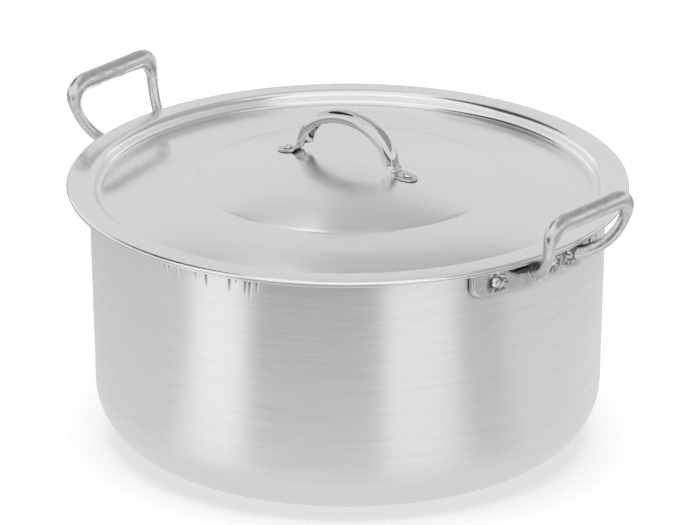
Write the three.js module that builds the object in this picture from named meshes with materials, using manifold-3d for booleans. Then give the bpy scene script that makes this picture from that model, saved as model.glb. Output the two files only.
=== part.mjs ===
// A lidded aluminium cooking pot: a spun body with a turned-out rim, two cast loop handles
// riveted to the wall, and a stepped lid with a pressed strap handle.
// Millimetres, +Z up. The origin is the centre of the base's underside, and the loop handles
// lie on +X and -X.
import * as THREE from 'three';
import { mergeVertices } from 'three/addons/utils/BufferGeometryUtils.js';
import Module from 'manifold-3d';

const wasm = await Module();
wasm.setup();

const { degToRad, lerp, smoothstep } = THREE.MathUtils;
const quarterTurn = Math.PI / 2;

// Pot body
const potRadius = 180;
const potHeight = 185;
const wallThickness = 2;
const baseThickness = 3;
const baseCornerRadius = 45;
const wallLean = degToRad(1.7);
const rimReach = 15;
const rimBendRadius = 2;

// Lid
const lidThickness = 1.5;
const lidFit = 1.6;
const lidOverhang = 0.7;
const lidLipRadius = 1.5;
const lidFlangeRise = 0.8;
const lidStepDepth = 8.6;
const lidStepLean = degToRad(16);
const lidBendRadius = 4.2;
const lidRingRadius = 106;
const lidRingRise = 9.8;
const lidDiscRise = 14.2;
const lidOuterSlope = 0.27;
const lidRingSlope = 0.03;
const lidTurn = degToRad(5.8);

// Lid handle, a strap pressed into an open channel
const strapThickness = 1.2;
const strapWidth = 12.5;
const strapChannelDepth = 8;
const strapSquareness = 0.75;
const strapArchSpan = 83;
const strapArchHeight = 35.9;
const strapBendRadius = 3;
const strapTabMargin = 4.1;
const strapHeadMargin = 2.3;

// Loop handles: the strip that hugs the wall under the rim
const stripThickness = 4.6;
const stripHeight = 18.4;
const stripNeckDip = 6.6;
const stripNeckOffset = 14.5;
const stripCentreDip = 1.1;
const stripLobeInset = 3;
const stripEndMargin = 18.4;
const stripEndRadius = 8;

// Loop handles: the two legs and the grip
const loopRootSpacing = 38;
const loopRootRise = 11.2;
const gripReach = 21.6;
const gripRise = 32.4;
const gripLength = 85;
const gripCornerSize = 15;
const gripSwellLength = 18;
const gripHalfDepth = 5.6;
const gripHalfHeight = 7;
const legHalfDepth = 4.8;
const legHalfWidth = 3.7;
const rootHalfDepth = 7;
const rootHalfWidth = 7;
const rootFlareLength = 20;

// Rivets: each head is wider than its shank by a margin
const handleRivetRadius = 1.75;
const handleRivetHeadMargin = 2.05;
const handleRivetHeadHeight = 2.2;
const handleRivetInnerMargin = 3.75;
const handleRivetInnerHeight = 1.6;
const footRivetOffset = 32.7;
const centreRivetInset = 5.6;
const rivetPocketMargin = 3.2;
const rivetPocketDepth = 1.2;
const rivetPocketTaper = 2.1;
const lidRivetRadius = 2;
const lidRivetHeadMargin = 1.3;
const lidRivetHeadHeight = 1.5;
const lidRivetInnerMargin = 2.5;
const lidRivetInnerHeight = 1.2;
const innerHeadFlat = 0.6;

// Clearances between pieces that touch, and how far a cutter runs past what it cuts
const seatGap = 0.3;
const rivetHoleGap = 0.3;
const cutterReach = 15;

// Facets
const aroundSteps = 60;
const rivetSteps = 10;
const pocketSteps = 20;
const sectionSteps = 10;
const strapSteps = 6;
const archSteps = 9;
const legSteps = 8;
const cornerSteps = 6;
const curveSteps = 4;
const bendSteps = 3;
const edgeSteps = 2;
const mergeDistance = 1e-4;

// Sizes that follow from the driving dimensions
const rimRadius = potRadius + rimReach;
const wallTop = potHeight - wallThickness - rimBendRadius;
const innerTopRadius = potRadius - wallThickness;
const lidSheet = lidThickness / 2;
const lidBase = potHeight + seatGap;
const stripTop = wallTop - seatGap;
const stripBottom = stripTop - stripHeight;
const loopRoot = stripBottom + loopRootRise;
const loopRootHalf = loopRootSpacing / 2;
const footRivetHalf = loopRootHalf + footRivetOffset;
const rivetHead = (shank, margin, height) => ({ radius: shank + margin, height });
const handleRivetHead = rivetHead(handleRivetRadius, handleRivetHeadMargin, handleRivetHeadHeight);
const handleRivetInner = rivetHead(handleRivetRadius, handleRivetInnerMargin, handleRivetInnerHeight);
const lidRivetHead = rivetHead(lidRivetRadius, lidRivetHeadMargin, lidRivetHeadHeight);
const lidRivetInner = rivetHead(lidRivetRadius, lidRivetInnerMargin, lidRivetInnerHeight);
// A turned face is flat between two steps, so the hollow side stands in by this share there
const flatShare = Math.cos(Math.PI / aroundSteps);

const metal = (color, roughness) => new THREE.MeshStandardMaterial({ color, roughness, metalness: 1 });
const aluminium = metal(0xdbdcdd, 0.34);
const castAluminium = metal(0xbdbdbe, 0.42);
const polishedSteel = metal(0x9e9f9f, 0.12);
const rivetMetal = metal(0xcbccce, 0.28);

// A closed geometry as a solid, with shared corners merged and triangles without area left out
function solidOf(geometry) {
  const bare = geometry.clone();
  bare.deleteAttribute('normal');
  bare.deleteAttribute('uv');
  const merged = mergeVertices(bare, mergeDistance);
  const corners = merged.index.array;
  const triangles = [];
  for (let i = 0; i < corners.length; i += 3) {
    const [a, b, c] = corners.slice(i, i + 3);
    if (a !== b && b !== c && c !== a) triangles.push(a, b, c);
  }
  const vertProperties = new Float32Array(merged.attributes.position.array);
  const triVerts = new Uint32Array(triangles);
  return new wasm.Manifold(new wasm.Mesh({ numProp: 3, vertProperties, triVerts }));
}

function geometryOf(solid) {
  const mesh = solid.getMesh();
  const geometry = new THREE.BufferGeometry();
  geometry.setAttribute('position', new THREE.BufferAttribute(new Float32Array(mesh.vertProperties), 3));
  geometry.setIndex(new THREE.BufferAttribute(new Uint32Array(mesh.triVerts), 1));
  geometry.computeVertexNormals();
  return geometry;
}

function piece(name, solid, material) {
  const mesh = new THREE.Mesh(geometryOf(solid), material);
  mesh.name = name;
  return mesh;
}

const point = (x, y) => new THREE.Vector2(x, y);
const line = (from, to) => new THREE.LineCurve(from, to);
const bow = (from, control, to) => new THREE.QuadraticBezierCurve(from, control, to);

function arc(centre, radius, from, to, clockwise) {
  return new THREE.EllipseCurve(centre.x, centre.y, radius, radius, from, to, clockwise);
}

// Points along curves that follow each other, given as [curve, steps], with no point twice
function trace(...runs) {
  const points = [];
  for (const [curve, steps] of runs) {
    for (const next of curve.getPoints(steps)) {
      if (!points.length || points.at(-1).distanceTo(next) > mergeDistance) points.push(next);
    }
  }
  return points;
}

// The direction of a path at one of its points
function pathDirection(points, i) {
  const before = points[Math.max(i - 1, 0)];
  const after = points[Math.min(i + 1, points.length - 1)];
  return after.clone().sub(before).normalize();
}

// A profile turned about Z
function revolve(profile, steps) {
  return new THREE.LatheGeometry(profile, steps).rotateX(quarterTurn);
}

// The solid between equal rings of points, closed at both ends
function loft(rings) {
  const count = rings[0].length;
  const middle = (ring) => ring.reduce((sum, p) => sum.add(p), new THREE.Vector3()).divideScalar(count);
  const corners = [...rings.flat(), middle(rings[0]), middle(rings.at(-1))];
  const startCap = corners.length - 2;
  const endCap = corners.length - 1;
  const lastRing = (rings.length - 1) * count;
  const triangles = [];
  for (let k = 0; k < count; k += 1) {
    const next = (k + 1) % count;
    triangles.push(startCap, next, k, endCap, lastRing + k, lastRing + next);
    for (let base = 0; base < lastRing; base += count) {
      triangles.push(base + k, base + next, base + count + next);
      triangles.push(base + k, base + count + next, base + count + k);
    }
  }
  const geometry = new THREE.BufferGeometry().setFromPoints(corners);
  geometry.setIndex(triangles);
  return geometry;
}

// Outside radius of the leaning wall at a height
function wallRadius(z) {
  return potRadius - Math.tan(wallLean) * (wallTop - z);
}

// The middle of a corner arc that runs from a level floor into a leaning wall
function cornerCentre(wallFace, floor, radius) {
  const height = floor + radius - radius * Math.sin(wallLean);
  return point(wallFace(height) - radius * Math.cos(wallLean), floor + radius);
}

function potBody() {
  const innerRadius = baseCornerRadius - wallThickness;
  const innerWall = (z) => wallRadius(z) - wallThickness;
  const outerCorner = cornerCentre(wallRadius, 0, baseCornerRadius);
  const innerCorner = cornerCentre(innerWall, baseThickness, innerRadius);
  const rimBend = point(potRadius + rimBendRadius, wallTop);
  const edgeRadius = wallThickness / 2;
  const edge = point(rimRadius - edgeRadius, potHeight - edgeRadius);
  const profile = trace(
    [line(point(0, 0), point(outerCorner.x, 0)), 1],
    [arc(outerCorner, baseCornerRadius, -quarterTurn, -wallLean, false), cornerSteps],
    [arc(rimBend, rimBendRadius, Math.PI, quarterTurn, true), bendSteps],
    [arc(edge, edgeRadius, -quarterTurn, quarterTurn, false), curveSteps],
    [arc(rimBend, rimBendRadius + wallThickness, quarterTurn, Math.PI, false), bendSteps],
    [arc(innerCorner, innerRadius, -wallLean, -quarterTurn, true), cornerSteps],
    [line(point(innerCorner.x, baseThickness), point(0, baseThickness)), 1],
  );
  let body = solidOf(revolve(profile, aroundSteps));
  for (const side of [0, Math.PI]) {
    for (const { angle, height } of handleRivets) {
      body = body.subtract(rivetHole(angle + side, height));
    }
  }
  return body;
}

// Where a line through each end with its slope meets the other
function tangentMeet(from, fromSlope, to, toSlope) {
  const x = (to.y - from.y + fromSlope * from.x - toSlope * to.x) / (fromSlope - toSlope);
  return point(x, from.y + fromSlope * (x - from.x));
}

// The sheet on both sides of a middle line that starts at the lip and ends on the axis
function sheetProfile(middleLine) {
  const upper = [];
  const lower = [];
  middleLine.forEach((here, i) => {
    const along = pathDirection(middleLine, i);
    const onAxis = i === middleLine.length - 1;
    const out = onAxis ? point(0, lidSheet) : point(along.y, -along.x).multiplyScalar(lidSheet);
    upper.push(here.clone().add(out));
    lower.push(here.clone().sub(out));
  });
  return [...lower.reverse(), ...upper];
}

// Heights in the lid's own frame, which starts at the underside of its lip
const lidFlangeTop = lidLipRadius + lidFlangeRise;
const lidRecess = lidFlangeTop - lidStepDepth;
const lidRingHeight = lidRecess + lidRingRise;
const lidCentreHeight = lidRingHeight + lidDiscRise;

// From the lip over the flange, down the step, and over the two pillows to the middle of the lid
function lidMiddleLine() {
  const lipLine = rimRadius + lidOverhang - lidSheet;
  const recessRadius = innerTopRadius - lidFit - lidSheet;
  const outerTilt = Math.atan(lidOuterSlope);
  const innerBend = point(recessRadius - lidBendRadius, lidRecess + lidBendRadius);
  const stepRun = Math.tan(lidStepLean) * (lidStepDepth - 2 * lidBendRadius);
  const bendSpread = 2 * lidBendRadius / Math.cos(lidStepLean);
  const outerBend = point(innerBend.x + stepRun + bendSpread, lidFlangeTop - lidBendRadius);
  const flangeStart = point(outerBend.x, lidFlangeTop);
  const flangeEnd = point(lipLine - lidLipRadius, lidLipRadius);
  const flangeCrown = point((flangeStart.x + flangeEnd.x) / 2, lidFlangeTop);
  const recessBend = arc(innerBend, lidBendRadius, -lidStepLean, -quarterTurn - outerTilt, true);
  const pillowStart = recessBend.getPoint(1);
  const ring = point(lidRingRadius, lidRingHeight);
  const pillowCrown = tangentMeet(pillowStart, -lidOuterSlope, ring, -lidRingSlope);
  const discCrown = point(lidRingRadius / 2, lidCentreHeight);
  return trace(
    [arc(point(flangeEnd.x, 0), lidLipRadius, 0, quarterTurn, false), bendSteps],
    [bow(flangeEnd, flangeCrown, flangeStart), edgeSteps],
    [arc(outerBend, lidBendRadius, quarterTurn, Math.PI - lidStepLean, false), bendSteps],
    [recessBend, bendSteps],
    [bow(pillowStart, pillowCrown, ring), curveSteps],
    [bow(ring, discCrown, point(0, lidCentreHeight)), curveSteps],
  );
}

// Height of the lid's upper face on the centre disc
function discTop(radius) {
  return lidCentreHeight - lidDiscRise * (radius / lidRingRadius) ** 2 + lidSheet;
}

const strapFoot = strapArchSpan / 2;
const strapRivetPlace = strapFoot + strapBendRadius + strapHeadMargin + lidRivetHead.radius;
const strapTabRadius = lidRivetHead.radius + strapTabMargin;
const strapTilt = Math.atan(2 * lidDiscRise * strapRivetPlace / lidRingRadius ** 2);

// The frame of a lid rivet: upright on the lid's face, with its origin there
function lidRivetFrame(side) {
  const frame = new THREE.Object3D();
  frame.position.set(side * strapRivetPlace, 0, discTop(strapRivetPlace));
  frame.rotation.y = side * strapTilt;
  frame.updateMatrix();
  return frame.matrix;
}

function lidRivetHole(side) {
  const radius = lidRivetRadius + rivetHoleGap;
  const hole = new THREE.CylinderGeometry(radius, radius, cutterReach, rivetSteps).rotateX(quarterTurn);
  return solidOf(hole.applyMatrix4(lidRivetFrame(side)));
}

function lid() {
  let sheet = solidOf(revolve(sheetProfile(lidMiddleLine()), aroundSteps));
  for (const side of [1, -1]) sheet = sheet.subtract(lidRivetHole(side));
  return sheet;
}

// Height of the tab's upper face, which lies along the lid at the rivet
function tabTop(x) {
  const seat = discTop(strapRivetPlace) + seatGap + strapThickness;
  return seat - Math.tan(strapTilt) * (x - strapRivetPlace);
}

// The middle of the bend from the arch into the tab
function strapBend() {
  const x = strapFoot + strapBendRadius;
  const tangentX = x - strapBendRadius * Math.sin(strapTilt);
  return point(x, tabTop(tangentX) + strapBendRadius * Math.cos(strapTilt));
}

// One half of the strap's outer face, from the crown of the arch to the round end of the tab
function strapHalf() {
  const bendMiddle = strapBend();
  const archRise = discTop(0) + strapArchHeight - bendMiddle.y;
  const arch = new THREE.EllipseCurve(0, bendMiddle.y, strapFoot, archRise, quarterTurn, 0, true);
  const bend = arc(bendMiddle, strapBendRadius, Math.PI, Math.PI + quarterTurn - strapTilt, false);
  const tabMiddle = point(strapRivetPlace, tabTop(strapRivetPlace));
  const tabEnd = Array.from({ length: curveSteps }, (_, k) => {
    const x = strapRivetPlace + strapTabRadius * Math.sin(quarterTurn * (k + 1) / (curveSteps + 1));
    return point(x, tabTop(x));
  });
  const arched = trace([arch, archSteps], [bend, bendSteps], [line(bend.getPoint(1), tabMiddle), 1]);
  return [...arched, ...tabEnd];
}

// A section of the strap: a bowed channel in the arch that flattens into the tab, squarer than an ellipse
function strapSection(here, along) {
  const bendMiddle = strapBend();
  const offset = Math.max(0, Math.abs(here.x) - strapRivetPlace);
  const inTab = Math.abs(here.x) > bendMiddle.x;
  const half = inTab ? Math.sqrt(strapTabRadius ** 2 - offset ** 2) : strapWidth / 2;
  const archStart = bendMiddle.y - strapBendRadius / 2;
  const deep = smoothstep(here.y, archStart, bendMiddle.y + 2 * strapBendRadius);
  const depth = lerp(strapThickness, strapChannelDepth, deep);
  const inner = Math.max(half - strapThickness, half / 2);
  const up = point(-along.y, along.x);
  const at = (sideways, rise) => {
    const across = here.clone().addScaledVector(up, rise);
    return new THREE.Vector3(across.x, sideways, across.y);
  };
  const squared = (share) => Math.sign(share) * Math.abs(share) ** strapSquareness;
  const fan = Array.from({ length: strapSteps + 1 }, (_, k) => {
    const turn = (0.5 - k / strapSteps) * Math.PI;
    return { aside: squared(Math.sin(turn)), over: squared(Math.cos(turn)) };
  });
  const outside = fan.map(({ aside, over }) => at(half * aside, depth * (over - 1)));
  const inside = fan.toReversed().map(({ aside, over }) => {
    return at(inner * aside, (depth - strapThickness) * over - depth);
  });
  return [...outside, ...inside];
}

function lidHandle() {
  const half = strapHalf();
  const mirrored = half.slice(1).map((p) => point(-p.x, p.y)).reverse();
  const path = [...mirrored, ...half];
  let strap = solidOf(loft(path.map((here, i) => strapSection(here, pathDirection(path, i)))));
  for (const side of [1, -1]) strap = strap.subtract(lidRivetHole(side));
  return strap;
}

// A rivet along Z: its shank runs between a flat inner head and a domed outer head,
// whose seats are given as heights
function rivet(innerSeat, outerSeat, shank, inner, outer) {
  const foot = innerSeat - inner.height;
  const top = outerSeat + outer.height;
  const flat = inner.radius * innerHeadFlat;
  const profile = trace(
    [line(point(0, foot), point(flat, foot)), 1],
    [bow(point(flat, foot), point(inner.radius, foot), point(inner.radius, innerSeat)), edgeSteps],
    [line(point(shank, innerSeat), point(shank, outerSeat)), 1],
    [bow(point(outer.radius, outerSeat), point(outer.radius, top), point(0, top)), bendSteps],
  );
  return revolve(profile, rivetSteps);
}

function lidRivet(side) {
  const innerSeat = -lidThickness - seatGap;
  const outerSeat = strapThickness + 2 * seatGap;
  const shape = rivet(innerSeat, outerSeat, lidRivetRadius, lidRivetInner, lidRivetHead);
  return solidOf(shape.applyMatrix4(lidRivetFrame(side)));
}

// The strip's outer face, where a rivet's pocket is sunk
const stripFace = (z) => wallRadius(z) + seatGap + stripThickness;

// Where the rivets of one loop handle go through the wall, with angles from the middle of the handle
const footRivetHeight = (stripTop + stripBottom) / 2;
const footRivetAngle = Math.asin(footRivetHalf / (stripFace(footRivetHeight) - stripThickness / 2));
const handleRivets = [
  { place: 'front', angle: -footRivetAngle, height: footRivetHeight },
  { place: 'middle', angle: 0, height: stripTop - stripCentreDip - centreRivetInset },
  { place: 'rear', angle: footRivetAngle, height: footRivetHeight },
];

// Turns a shape made along Z so that it points outwards from the pot's axis at an angle and a height
function pointOutwards(geometry, angle, height) {
  return solidOf(geometry.rotateY(quarterTurn).rotateZ(angle).translate(0, 0, height));
}

function rivetHole(angle, height) {
  const radius = handleRivetRadius + rivetHoleGap;
  const from = wallRadius(height) - wallThickness - cutterReach;
  const to = stripFace(height) + cutterReach;
  const hole = new THREE.CylinderGeometry(radius, radius, to - from, rivetSteps).rotateX(quarterTurn);
  return pointOutwards(hole.translate(0, 0, (from + to) / 2), angle, height);
}

function rivetPocket(angle, height) {
  const floor = stripFace(height) - rivetPocketDepth;
  const mouth = handleRivetHead.radius + rivetPocketMargin;
  const bottom = mouth - rivetPocketTaper;
  const depth = 2 * stripThickness;
  const pocket = new THREE.CylinderGeometry(mouth, bottom, depth, pocketSteps).rotateX(quarterTurn);
  return pointOutwards(pocket.translate(0, 0, floor + depth / 2), angle, height);
}

// The front outline of the strip: three lobes that carry the rivets, with necks between them
function stripOutline() {
  const half = footRivetHalf + stripEndMargin;
  const lobe = footRivetHalf - stripLobeInset;
  const neck = point(loopRootHalf + stripNeckOffset, stripTop - stripNeckDip);
  const centre = stripTop - stripCentreDip;
  const soft = stripEndRadius / 2;
  const outline = new THREE.Shape();
  outline.moveTo(-half + stripEndRadius, stripBottom);
  outline.lineTo(half - stripEndRadius, stripBottom);
  outline.quadraticCurveTo(half, stripBottom, half, stripBottom + stripEndRadius);
  outline.lineTo(half, stripTop - soft);
  outline.quadraticCurveTo(half, stripTop, half - soft, stripTop);
  outline.lineTo(lobe, stripTop);
  outline.bezierCurveTo(lobe - soft, stripTop, neck.x + soft, neck.y, neck.x, neck.y);
  outline.bezierCurveTo(neck.x / 2, neck.y, neck.x / 2, centre, 0, centre);
  outline.bezierCurveTo(-neck.x / 2, centre, -neck.x / 2, neck.y, -neck.x, neck.y);
  outline.bezierCurveTo(-neck.x - soft, neck.y, -lobe + soft, stripTop, -lobe, stripTop);
  outline.lineTo(-half + soft, stripTop);
  outline.quadraticCurveTo(-half, stripTop, -half, stripTop - soft);
  outline.lineTo(-half, stripBottom + stripEndRadius);
  outline.quadraticCurveTo(-half, stripBottom, -half + stripEndRadius, stripBottom);
  return outline;
}

// What lies between two faces that lean with the wall, given by their distances from it
function leaningBand(inner, outer) {
  const low = stripBottom - cutterReach;
  const high = potHeight;
  const corner = (z, away) => point(wallRadius(z) + away, z);
  const start = corner(low, inner);
  return revolve([start, corner(low, outer), corner(high, outer), corner(high, inner), start], aroundSteps);
}

// The strip that hugs the wall: a leaning band cut to the front outline
function handleStrip() {
  const shape = { depth: potRadius, bevelEnabled: false, curveSegments: curveSteps };
  const cutter = new THREE.ExtrudeGeometry(stripOutline(), shape);
  cutter.rotateX(quarterTurn).rotateZ(quarterTurn).translate(potRadius / 2, 0, 0);
  return solidOf(leaningBand(seatGap, seatGap + stripThickness)).intersect(solidOf(cutter));
}

// The loop's middle line: each leg is a quarter of an ellipse that leaves the wall level, spreads and
// ends upright, where a round corner leads into the grip.
function loopPath() {
  const grip = potHeight + gripRise;
  const rise = grip - loopRoot;
  const rootRadius = wallRadius(loopRoot) + stripThickness / 2;
  const reach = rimRadius + gripReach - rootRadius;
  const gripHalf = gripLength / 2;
  const legTurn = Math.acos(gripCornerSize / rise);
  const front = Array.from({ length: legSteps + 1 }, (_, k) => {
    const turn = legTurn * k / legSteps;
    return point(lerp(loopRootHalf, gripHalf, Math.sin(turn)), grip - rise * Math.cos(turn));
  });
  const gripEnd = point(gripHalf - gripCornerSize, grip);
  const corner = bow(front.at(-1), point(gripHalf, grip), gripEnd);
  front.push(...corner.getPoints(cornerSteps).slice(1), point(gripEnd.x / 2, grip));
  const mirrored = front.map((p) => point(-p.x, p.y)).reverse();
  return [...front, ...mirrored].map((p) => {
    const lower = (grip - p.y) / rise;
    const outer = Math.sqrt(1 - Math.min(lower, 1) ** 2);
    const middle = new THREE.Vector3(rootRadius + reach * outer, p.x, p.y);
    const normal = new THREE.Vector3(rise * outer, 0, -reach * lower).normalize();
    const flare = 1 - smoothstep(middle.x, rootRadius, rootRadius + rootFlareLength);
    const swell = smoothstep(p.y, grip - gripSwellLength, grip - gripHalfHeight / 2);
    return { middle, normal, flare, swell };
  });
}

// A section of the loop: an oval that is widest at the root and swells again into the grip
function loopRing({ middle, normal, flare, swell }, along) {
  const blend = (leg, root, hold) => leg + (root - leg) * flare + (hold - leg) * swell;
  const deep = blend(legHalfDepth, rootHalfDepth, gripHalfDepth);
  const wide = blend(legHalfWidth, rootHalfWidth, gripHalfHeight);
  const across = along.clone().cross(normal).normalize();
  const out = across.clone().cross(along).normalize();
  return Array.from({ length: sectionSteps }, (_, k) => {
    const turn = 2 * Math.PI * k / sectionSteps;
    const side = across.clone().multiplyScalar(wide * Math.sin(turn));
    return middle.clone().addScaledVector(out, deep * Math.cos(turn)).add(side);
  });
}

function sideHandle() {
  const path = loopPath();
  const middles = path.map((station) => station.middle);
  const rings = path.map((station, i) => loopRing(station, pathDirection(middles, i)));
  let handle = handleStrip().add(solidOf(loft(rings)));
  handle = handle.subtract(solidOf(leaningBand(-cutterReach, seatGap)));
  for (const { angle, height } of handleRivets) {
    handle = handle.subtract(rivetPocket(angle, height));
    handle = handle.subtract(rivetHole(angle, height));
  }
  return handle;
}

function handleRivet({ angle, height }) {
  const innerSeat = (wallRadius(height) - wallThickness) * flatShare - seatGap;
  const outerSeat = stripFace(height) - rivetPocketDepth + seatGap;
  const shape = rivet(innerSeat, outerSeat, handleRivetRadius, handleRivetInner, handleRivetHead);
  return pointOutwards(shape, angle, height);
}

function potAssembly() {
  const group = new THREE.Group();
  group.add(piece('pot_body', potBody(), aluminium));
  const handleSolid = sideHandle();
  const swapped = { front: 'rear', middle: 'middle', rear: 'front' };
  for (const side of ['right', 'left']) {
    const half = new THREE.Group();
    half.rotation.z = side === 'right' ? 0 : Math.PI;
    half.add(piece(`side_handle_${side}`, handleSolid, castAluminium));
    for (const seat of handleRivets) {
      const place = side === 'right' ? seat.place : swapped[seat.place];
      half.add(piece(`side_handle_${side}_rivet_${place}`, handleRivet(seat), rivetMetal));
    }
    group.add(half);
  }
  return group;
}

function lidAssembly() {
  const group = new THREE.Group();
  group.position.z = lidBase;
  group.rotation.z = lidTurn;
  group.add(piece('lid', lid(), aluminium));
  group.add(piece('lid_handle', lidHandle(), polishedSteel));
  group.add(piece('lid_handle_rivet_right', lidRivet(1), rivetMetal));
  group.add(piece('lid_handle_rivet_left', lidRivet(-1), rivetMetal));
  return group;
}

const pot = new THREE.Group();
pot.name = 'aluminium_pot';
pot.add(potAssembly(), lidAssembly());

export default pot;
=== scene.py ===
"""Looks of a lidded aluminium cooking pot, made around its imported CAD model.

Metres, +Z up. The loop handles lie on +X and -X, and the lid rests turned a little from them.
"""
import math
import random

import bpy
from mathutils import Matrix, Vector, noise


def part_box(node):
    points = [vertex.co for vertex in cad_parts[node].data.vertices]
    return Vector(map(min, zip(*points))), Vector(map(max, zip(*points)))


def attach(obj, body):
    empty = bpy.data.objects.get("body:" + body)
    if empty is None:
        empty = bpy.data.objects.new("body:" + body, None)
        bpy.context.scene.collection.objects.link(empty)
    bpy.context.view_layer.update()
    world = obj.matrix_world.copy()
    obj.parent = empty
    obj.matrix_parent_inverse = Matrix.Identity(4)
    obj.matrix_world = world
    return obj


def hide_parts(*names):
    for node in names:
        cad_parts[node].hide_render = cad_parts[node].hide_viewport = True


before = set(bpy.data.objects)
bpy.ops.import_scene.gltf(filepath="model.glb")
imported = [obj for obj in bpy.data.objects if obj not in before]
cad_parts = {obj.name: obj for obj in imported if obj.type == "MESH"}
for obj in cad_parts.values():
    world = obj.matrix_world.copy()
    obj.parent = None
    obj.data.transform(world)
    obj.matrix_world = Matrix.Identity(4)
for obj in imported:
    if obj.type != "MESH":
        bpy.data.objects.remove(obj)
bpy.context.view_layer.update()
scene = bpy.context.scene
scene.view_settings.view_transform = "Standard"

# Camera, at the photograph's viewing angle, with the lens in millimetres
CAMERA_AZIMUTH = math.radians(40.0)
CAMERA_ELEVATION = math.radians(21.12)
CAMERA_DISTANCE = 11.14
CAMERA_LENS = 822.9
AIM_HEIGHT = 0.1268
AIM_RIGHT = 0.0015

# Pot body
POT_RADIUS = 0.180
RIM_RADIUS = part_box("pot_body")[1].x
POT_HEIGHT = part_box("pot_body")[1].z
WALL_THICKNESS = 0.002
BASE_THICKNESS = 0.003
BASE_CORNER_RADIUS = 0.045
WALL_LEAN = math.radians(1.7)
RIM_BEND_RADIUS = 0.002
WALL_TOP = POT_HEIGHT - WALL_THICKNESS - RIM_BEND_RADIUS

# Lid
SEAT_GAP = 0.0003
LID_BASE = POT_HEIGHT + SEAT_GAP
LID_SHEET = 0.00075
LID_FIT = 0.0016
LID_OVERHANG = 0.0007
LID_LIP_RADIUS = 0.0015
LID_FLANGE_TOP = LID_LIP_RADIUS + 0.0008
LID_STEP_DEPTH = 0.0086
LID_STEP_LEAN = math.radians(16)
LID_BEND_RADIUS = 0.0042
LID_RING_RADIUS = 0.106
LID_GROOVE_DEPTH = 0.00013
LID_GROOVE_WIDTH = 0.0013
LID_RECESS = LID_FLANGE_TOP - LID_STEP_DEPTH
LID_RING_HEIGHT = LID_RECESS + 0.0098
LID_DISC_RISE = 0.0142
LID_CENTRE_HEIGHT = LID_RING_HEIGHT + LID_DISC_RISE
LID_OUTER_SLOPE = 0.27
LID_RING_SLOPE = 0.03
LID_TURN = math.radians(5.8)

# Lid handle
STRAP_THICKNESS = 0.0012
STRAP_WIDTH = 0.0125
STRAP_CHANNEL_DEPTH = 0.008
STRAP_SQUARENESS = 0.75
STRAP_FOOT = 0.0415
STRAP_ARCH_HEIGHT = 0.0359
STRAP_BEND_RADIUS = 0.003
STRAP_RIVET_PLACE = 0.0501
STRAP_TAB_RADIUS = 0.0074

# Loop handles
STRIP_THICKNESS = 0.0046
STRIP_EDGE_RADIUS = 0.0016
STRIP_TOP = WALL_TOP - SEAT_GAP
STRIP_BOTTOM = STRIP_TOP - 0.0184
STRIP_HALF = 0.0701
STRIP_LOBE = 0.0487
STRIP_NECK = 0.0335
STRIP_NECK_DIP = 0.0066
STRIP_CENTRE_DIP = 0.0011
STRIP_END_RADIUS = 0.008
STRIP_MOUND = 0.0034
STRIP_MOUND_HALF = 0.009
LOOP_ROOT = STRIP_BOTTOM + 0.0112
LOOP_ROOT_HALF = 0.019
STRIP_MOUND_PLACE = LOOP_ROOT_HALF + 0.007
GRIP_RADIUS = RIM_RADIUS + 0.0216
GRIP_HEIGHT = POT_HEIGHT + 0.0324
GRIP_HALF = 0.0425
GRIP_CORNER_SIZE = 0.015
GRIP_SWELL_LENGTH = 0.018
GRIP_SIZE = (0.0056, 0.007)
LEG_SIZE = (0.0045, 0.0036)
ROOT_SIZE = (0.0054, 0.0054)
ROOT_FLARE_LENGTH = 0.02
SECTION_POWER = 1.75
HANDLE_VOXEL = 0.0005
HANDLE_SOFTEN_SHARE = 0.5
HANDLE_SOFTEN_ROUNDS = 12
STRIP_INSET = 0.0004
STRIP_STEPS = 160
LOOP_STEPS = 32

# Rivets
FOOT_RIVET_HALF = 0.0517
FOOT_RIVET_HEIGHT = (STRIP_TOP + STRIP_BOTTOM) / 2
MIDDLE_RIVET_HEIGHT = STRIP_TOP - STRIP_CENTRE_DIP - 0.0056
RIVET_POCKET_RADIUS = 0.007
RIVET_POCKET_DEPTH = 0.0012
RIVET_POCKET_FLAT = 0.65
HANDLE_RIVET = {"shank": 0.00175, "head": 0.0038, "height": 0.0022, "inner": 0.0055, "inner_height": 0.0016}
STAR_POINTS = 5
STAR_DEPTH = 0.0009
STAR_REACH = 0.55
STAR_SWING = 0.2
STAR_FLOOR = 0.7
RIVET_STEPS = 40
RIVET_FLAT = 0.6
LID_RIVET = {"shank": 0.0020, "head": 0.0033, "height": 0.0015, "inner": 0.0045, "inner_height": 0.0012}

# Places on a strip's face, as distance from its middle and height: the rivets, and where the casting stays rough
RIVET_PLACES = (
    (-FOOT_RIVET_HALF, FOOT_RIVET_HEIGHT),
    (0, MIDDLE_RIVET_HEIGHT),
    (FOOT_RIVET_HALF, FOOT_RIVET_HEIGHT),
)
ROUGH_ROOT = LOOP_ROOT_HALF - 0.002
ROUGH_PLACES = RIVET_PLACES + ((-ROUGH_ROOT, LOOP_ROOT), (ROUGH_ROOT, LOOP_ROOT))
ROUGH_RADIUS = 0.006
ROUGH_FADE_RADIUS = 0.0105

# Puckers that turning the rim out left in the wall: first angle and count of each group, in degrees
PUCKER_GROUPS = ((-96.6, 18), (38, 9), (104, 13), (214, 8))
PUCKER_SPACING = 1.55
PUCKER_DEPTH = 0.0009
PUCKER_WIDTH = 0.0009
PUCKER_LENGTH = 0.017
PUCKER_SEED = 5

# Slow waves in the lid's thin sheet
LID_WAVE_HEIGHT = 0.00025
LID_WAVE_SCALE = 22.0

TURN_STEPS = 240
SHARP_ANGLE = math.radians(40)


def lerp(start, end, share):
    return start + (end - start) * share


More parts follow.
